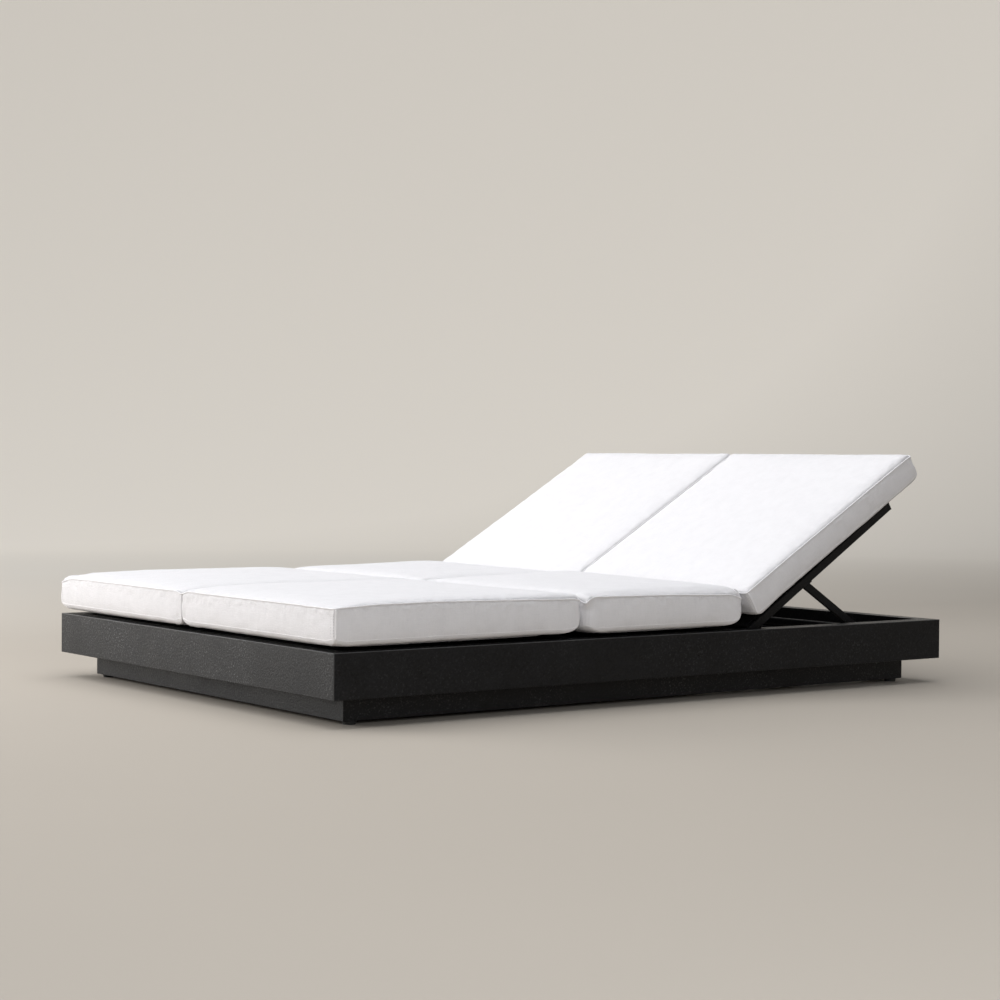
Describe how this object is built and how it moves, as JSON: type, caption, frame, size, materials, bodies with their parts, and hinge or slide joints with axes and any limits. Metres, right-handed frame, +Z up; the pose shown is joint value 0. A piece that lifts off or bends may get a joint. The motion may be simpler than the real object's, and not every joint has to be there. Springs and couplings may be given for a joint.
{
  "type": "double chaise lounger",
  "caption": "Low double lounger on a set-in plinth, with two mattresses of three cushions and two tilting backs held by props in notched racks.",
  "frame": {"origin": "on the floor, under the middle of the platform frame", "axes": "+X from the foot end to the head end, +Z up, -Y the left side of a person lying on it"},
  "size_m": [2.18, 1.56, 0.697],
  "materials": {
    "frame_coat": "matte",
    "plinth_coat": "matte",
    "inner_frame_coat": "matte",
    "slat_coat": "matte",
    "stainless_fasteners": "satin",
    "rubber": "matte",
    "nylon": "satin",
    "cushion_fabric": "matte"
  },
  "bodies": {
    "base": {"back_pivot_pins": "stainless_fasteners", "bearer_end_plates": "inner_frame_coat", "centre_beam": "inner_frame_coat", "corner_keys": "inner_frame_coat", "cross_bearer_1": "inner_frame_coat", "cross_bearer_2": "inner_frame_coat", "cross_bearer_3": "inner_frame_coat", "cross_bearer_4": "inner_frame_coat", "cross_bearer_5": "inner_frame_coat", "cross_bearer_6": "inner_frame_coat", "deck_ledge_left": "inner_frame_coat", "deck_ledge_right": "inner_frame_coat", "deck_slats_left": "slat_coat", "deck_slats_right": "slat_coat", "foot_cushion_left": "cushion_fabric", "foot_cushion_right": "cushion_fabric", "foot_rail": "frame_coat", "glides": "rubber", "head_rail": "frame_coat", "pivot_brackets": "inner_frame_coat", "plinth_foot_end": "plinth_coat", "plinth_head_end": "plinth_coat", "plinth_side_left": "plinth_coat", "plinth_side_right": "plinth_coat", "prop_rack_inner_left": "inner_frame_coat", "prop_rack_inner_right": "inner_frame_coat", "prop_rack_outer_left": "inner_frame_coat", "prop_rack_outer_right": "inner_frame_coat", "seat_cushion_left": "cushion_fabric", "seat_cushion_right": "cushion_fabric", "side_rail_left": "frame_coat", "side_rail_right": "frame_coat", "stop_brackets": "inner_frame_coat", "stop_bumpers": "rubber"},
    "back_frame_left": {"back_bar_caps_left": "nylon", "back_bar_inner_left": "frame_coat", "back_bar_outer_left": "frame_coat", "back_low_rail_left": "frame_coat", "back_pivot_bushes_left": "nylon", "back_slats_left": "slat_coat", "back_top_rail_left": "frame_coat", "prop_pivot_bolts_left": "stainless_fasteners", "prop_tabs_left": "frame_coat"},
    "prop_left": {"prop_foot_bar_left": "frame_coat", "prop_leg_inner_left": "frame_coat", "prop_leg_outer_left": "frame_coat"},
    "back_cushion_left": {"back_cushion_left": "cushion_fabric"},
    "back_frame_right": {"back_bar_caps_right": "nylon", "back_bar_inner_right": "frame_coat", "back_bar_outer_right": "frame_coat", "back_low_rail_right": "frame_coat", "back_pivot_bushes_right": "nylon", "back_slats_right": "slat_coat", "back_top_rail_right": "frame_coat", "prop_pivot_bolts_right": "stainless_fasteners", "prop_tabs_right": "frame_coat"},
    "prop_right": {"prop_foot_bar_right": "frame_coat", "prop_leg_inner_right": "frame_coat", "prop_leg_outer_right": "frame_coat"},
    "back_cushion_right": {"back_cushion_right": "cushion_fabric"}
  },
  "joints": [
    {"name": "back_tilt_left", "type": "hinge", "parent": "base", "child": "back_frame_left", "pos_m": [0.3335, 0, 0.1675], "axis": [0, -1, 0], "range_deg": [-32, 18]},
    {"name": "prop_swing_left", "type": "hinge", "parent": "back_frame_left", "child": "prop_left", "pos_m": [0.58134, 0, 0.32237], "axis": [0, -1, 0], "range_deg": [-36, 64]},
    {"name": "cushion_slide_left", "type": "slide", "parent": "back_frame_left", "child": "back_cushion_left", "axis": [0.848, 0, 0.5299], "range_m": [-0.0768, 0.0432]},
    {"name": "back_tilt_right", "type": "hinge", "parent": "base", "child": "back_frame_right", "pos_m": [0.3335, 0, 0.1675], "axis": [0, -1, 0], "range_deg": [-32, 18]},
    {"name": "prop_swing_right", "type": "hinge", "parent": "back_frame_right", "child": "prop_right", "pos_m": [0.58134, 0, 0.32237], "axis": [0, -1, 0], "range_deg": [-36, 64]},
    {"name": "cushion_slide_right", "type": "slide", "parent": "back_frame_right", "child": "back_cushion_right", "axis": [0.848, 0, 0.5299], "range_m": [-0.0768, 0.0432]}
  ],
  "couplings": [
    {"joint": "prop_swing_left", "follows": "back_tilt_left", "ratio": -2},
    {"joint": "cushion_slide_left", "follows": "back_tilt_left", "m_per_rad": 0.13751},
    {"joint": "prop_swing_right", "follows": "back_tilt_right", "ratio": -2},
    {"joint": "cushion_slide_right", "follows": "back_tilt_right", "m_per_rad": 0.13751}
  ]
}
